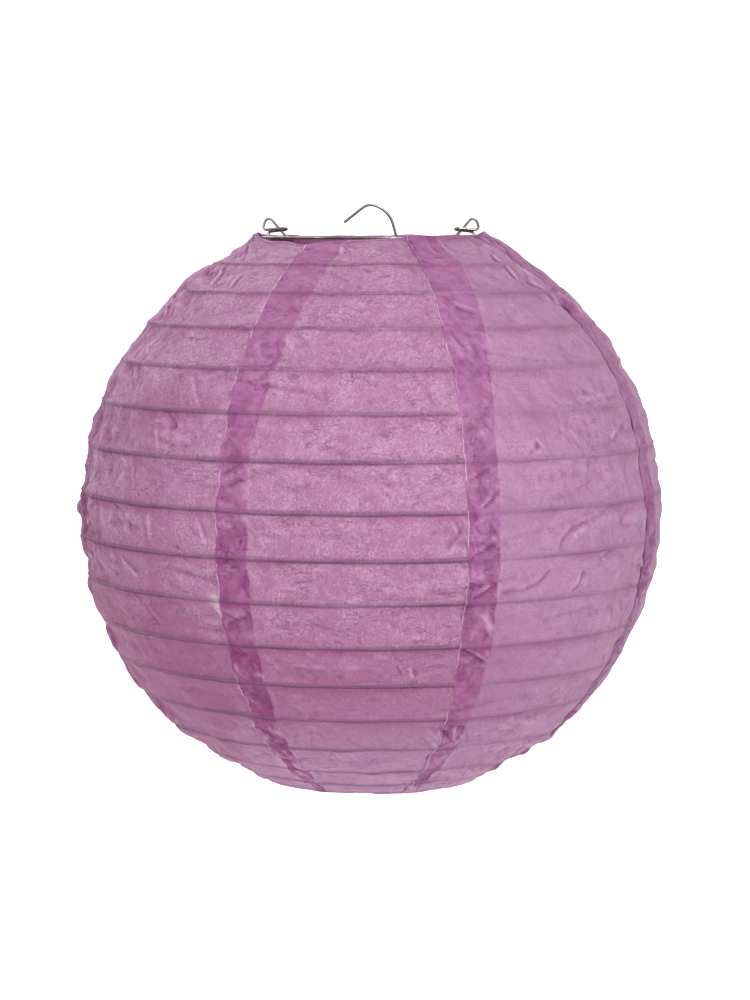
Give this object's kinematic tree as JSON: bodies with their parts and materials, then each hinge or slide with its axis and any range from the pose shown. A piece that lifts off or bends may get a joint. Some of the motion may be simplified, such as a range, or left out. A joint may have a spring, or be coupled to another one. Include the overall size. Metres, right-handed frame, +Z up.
{
  "type": "paper lantern",
  "caption": "Round lilac tissue-paper lantern of lapped gores on wire hoops, hung from the hook of the bent wire expander that spreads its two rings; folds flat",
  "frame": {"origin": "the saddle of the hanging hook, the underside of its round top, on the lantern's vertical axis", "axes": "+Z up along the lantern's axis; +X along the expander's crossbar, towards the hook's foot; -Y is the front"},
  "size_m": [0.2991, 0.2993, 0.2995],
  "materials": {
    "tissue_paper": "matt crinkled tissue paper, lets light through",
    "expander_wire": "dull grey drawn steel wire",
    "hoop_wire": "thin dull steel wire"
  },
  "bodies": {
    "spreader": {"expander": "expander_wire", "top_ring": "hoop_wire", "paper_gore_1": "tissue_paper", "paper_gore_2": "tissue_paper", "paper_gore_3": "tissue_paper", "paper_gore_4": "tissue_paper", "paper_gore_5": "tissue_paper", "paper_gore_6": "tissue_paper", "paper_gore_7": "tissue_paper"},
    "lower_ring": {"bottom_ring": "hoop_wire"},
    "hoop_01": {"rib_01": "hoop_wire"},
    "hoop_02": {"rib_02": "hoop_wire"},
    "hoop_03": {"rib_03": "hoop_wire"},
    "hoop_04": {"rib_04": "hoop_wire"},
    "hoop_05": {"rib_05": "hoop_wire"},
    "hoop_06": {"rib_06": "hoop_wire"},
    "hoop_07": {"rib_07": "hoop_wire"},
    "hoop_08": {"rib_08": "hoop_wire"},
    "hoop_09": {"rib_09": "hoop_wire"},
    "hoop_10": {"rib_10": "hoop_wire"},
    "hoop_11": {"rib_11": "hoop_wire"},
    "hoop_12": {"rib_12": "hoop_wire"},
    "hoop_13": {"rib_13": "hoop_wire"},
    "hoop_14": {"rib_14": "hoop_wire"},
    "hoop_15": {"rib_15": "hoop_wire"}
  },
  "joints": [
    {"name": "collapse", "type": "slide", "parent": "spreader", "child": "lower_ring", "axis": [0, 0, 1], "range_m": [0, 0.258], "deforming": ["paper_gore_1", "paper_gore_2", "paper_gore_3", "paper_gore_4", "paper_gore_5", "paper_gore_6", "paper_gore_7"]},
    {"name": "rise_01", "type": "slide", "parent": "spreader", "child": "hoop_01", "axis": [0, 0, 1], "range_m": [0, 0.01255]},
    {"name": "rise_02", "type": "slide", "parent": "spreader", "child": "hoop_02", "axis": [0, 0, 1], "range_m": [0, 0.02499]},
    {"name": "rise_03", "type": "slide", "parent": "spreader", "child": "hoop_03", "axis": [0, 0, 1], "range_m": [0, 0.04015]},
    {"name": "rise_04", "type": "slide", "parent": "spreader", "child": "hoop_04", "axis": [0, 0, 1], "range_m": [0, 0.0576]},
    {"name": "rise_05", "type": "slide", "parent": "spreader", "child": "hoop_05", "axis": [0, 0, 1], "range_m": [0, 0.07633]},
    {"name": "rise_06", "type": "slide", "parent": "spreader", "child": "hoop_06", "axis": [0, 0, 1], "range_m": [0, 0.09673]},
    {"name": "rise_07", "type": "slide", "parent": "spreader", "child": "hoop_07", "axis": [0, 0, 1], "range_m": [0, 0.11864]},
    {"name": "rise_08", "type": "slide", "parent": "spreader", "child": "hoop_08", "axis": [0, 0, 1], "range_m": [0, 0.13913]},
    {"name": "rise_09", "type": "slide", "parent": "spreader", "child": "hoop_09", "axis": [0, 0, 1], "range_m": [0, 0.15869]},
    {"name": "rise_10", "type": "slide", "parent": "spreader", "child": "hoop_10", "axis": [0, 0, 1], "range_m": [0, 0.17854]},
    {"name": "rise_11", "type": "slide", "parent": "spreader", "child": "hoop_11", "axis": [0, 0, 1], "range_m": [0, 0.19666]},
    {"name": "rise_12", "type": "slide", "parent": "spreader", "child": "hoop_12", "axis": [0, 0, 1], "range_m": [0, 0.21373]},
    {"name": "rise_13", "type": "slide", "parent": "spreader", "child": "hoop_13", "axis": [0, 0, 1], "range_m": [0, 0.22977]},
    {"name": "rise_14", "type": "slide", "parent": "spreader", "child": "hoop_14", "axis": [0, 0, 1], "range_m": [0, 0.24306]},
    {"name": "rise_15", "type": "slide", "parent": "spreader", "child": "hoop_15", "axis": [0, 0, 1], "range_m": [0, 0.25162]}
  ],
  "couplings": [
    {"joint": "rise_01", "follows": "collapse", "ratio": 0.04862},
    {"joint": "rise_02", "follows": "collapse", "ratio": 0.09686},
    {"joint": "rise_03", "follows": "collapse", "ratio": 0.1556},
    {"joint": "rise_04", "follows": "collapse", "ratio": 0.22325},
    {"joint": "rise_05", "follows": "collapse", "ratio": 0.29583},
    {"joint": "rise_06", "follows": "collapse", "ratio": 0.37492},
    {"joint": "rise_07", "follows": "collapse", "ratio": 0.45983},
    {"joint": "rise_08", "follows": "collapse", "ratio": 0.53924},
    {"joint": "rise_09", "follows": "collapse", "ratio": 0.61505},
    {"joint": "rise_10", "follows": "collapse", "ratio": 0.69201},
    {"joint": "rise_11", "follows": "collapse", "ratio": 0.76221},
    {"joint": "rise_12", "follows": "collapse", "ratio": 0.82839},
    {"joint": "rise_13", "follows": "collapse", "ratio": 0.89058},
    {"joint": "rise_14", "follows": "collapse", "ratio": 0.94209},
    {"joint": "rise_15", "follows": "collapse", "ratio": 0.97525}
  ]
}
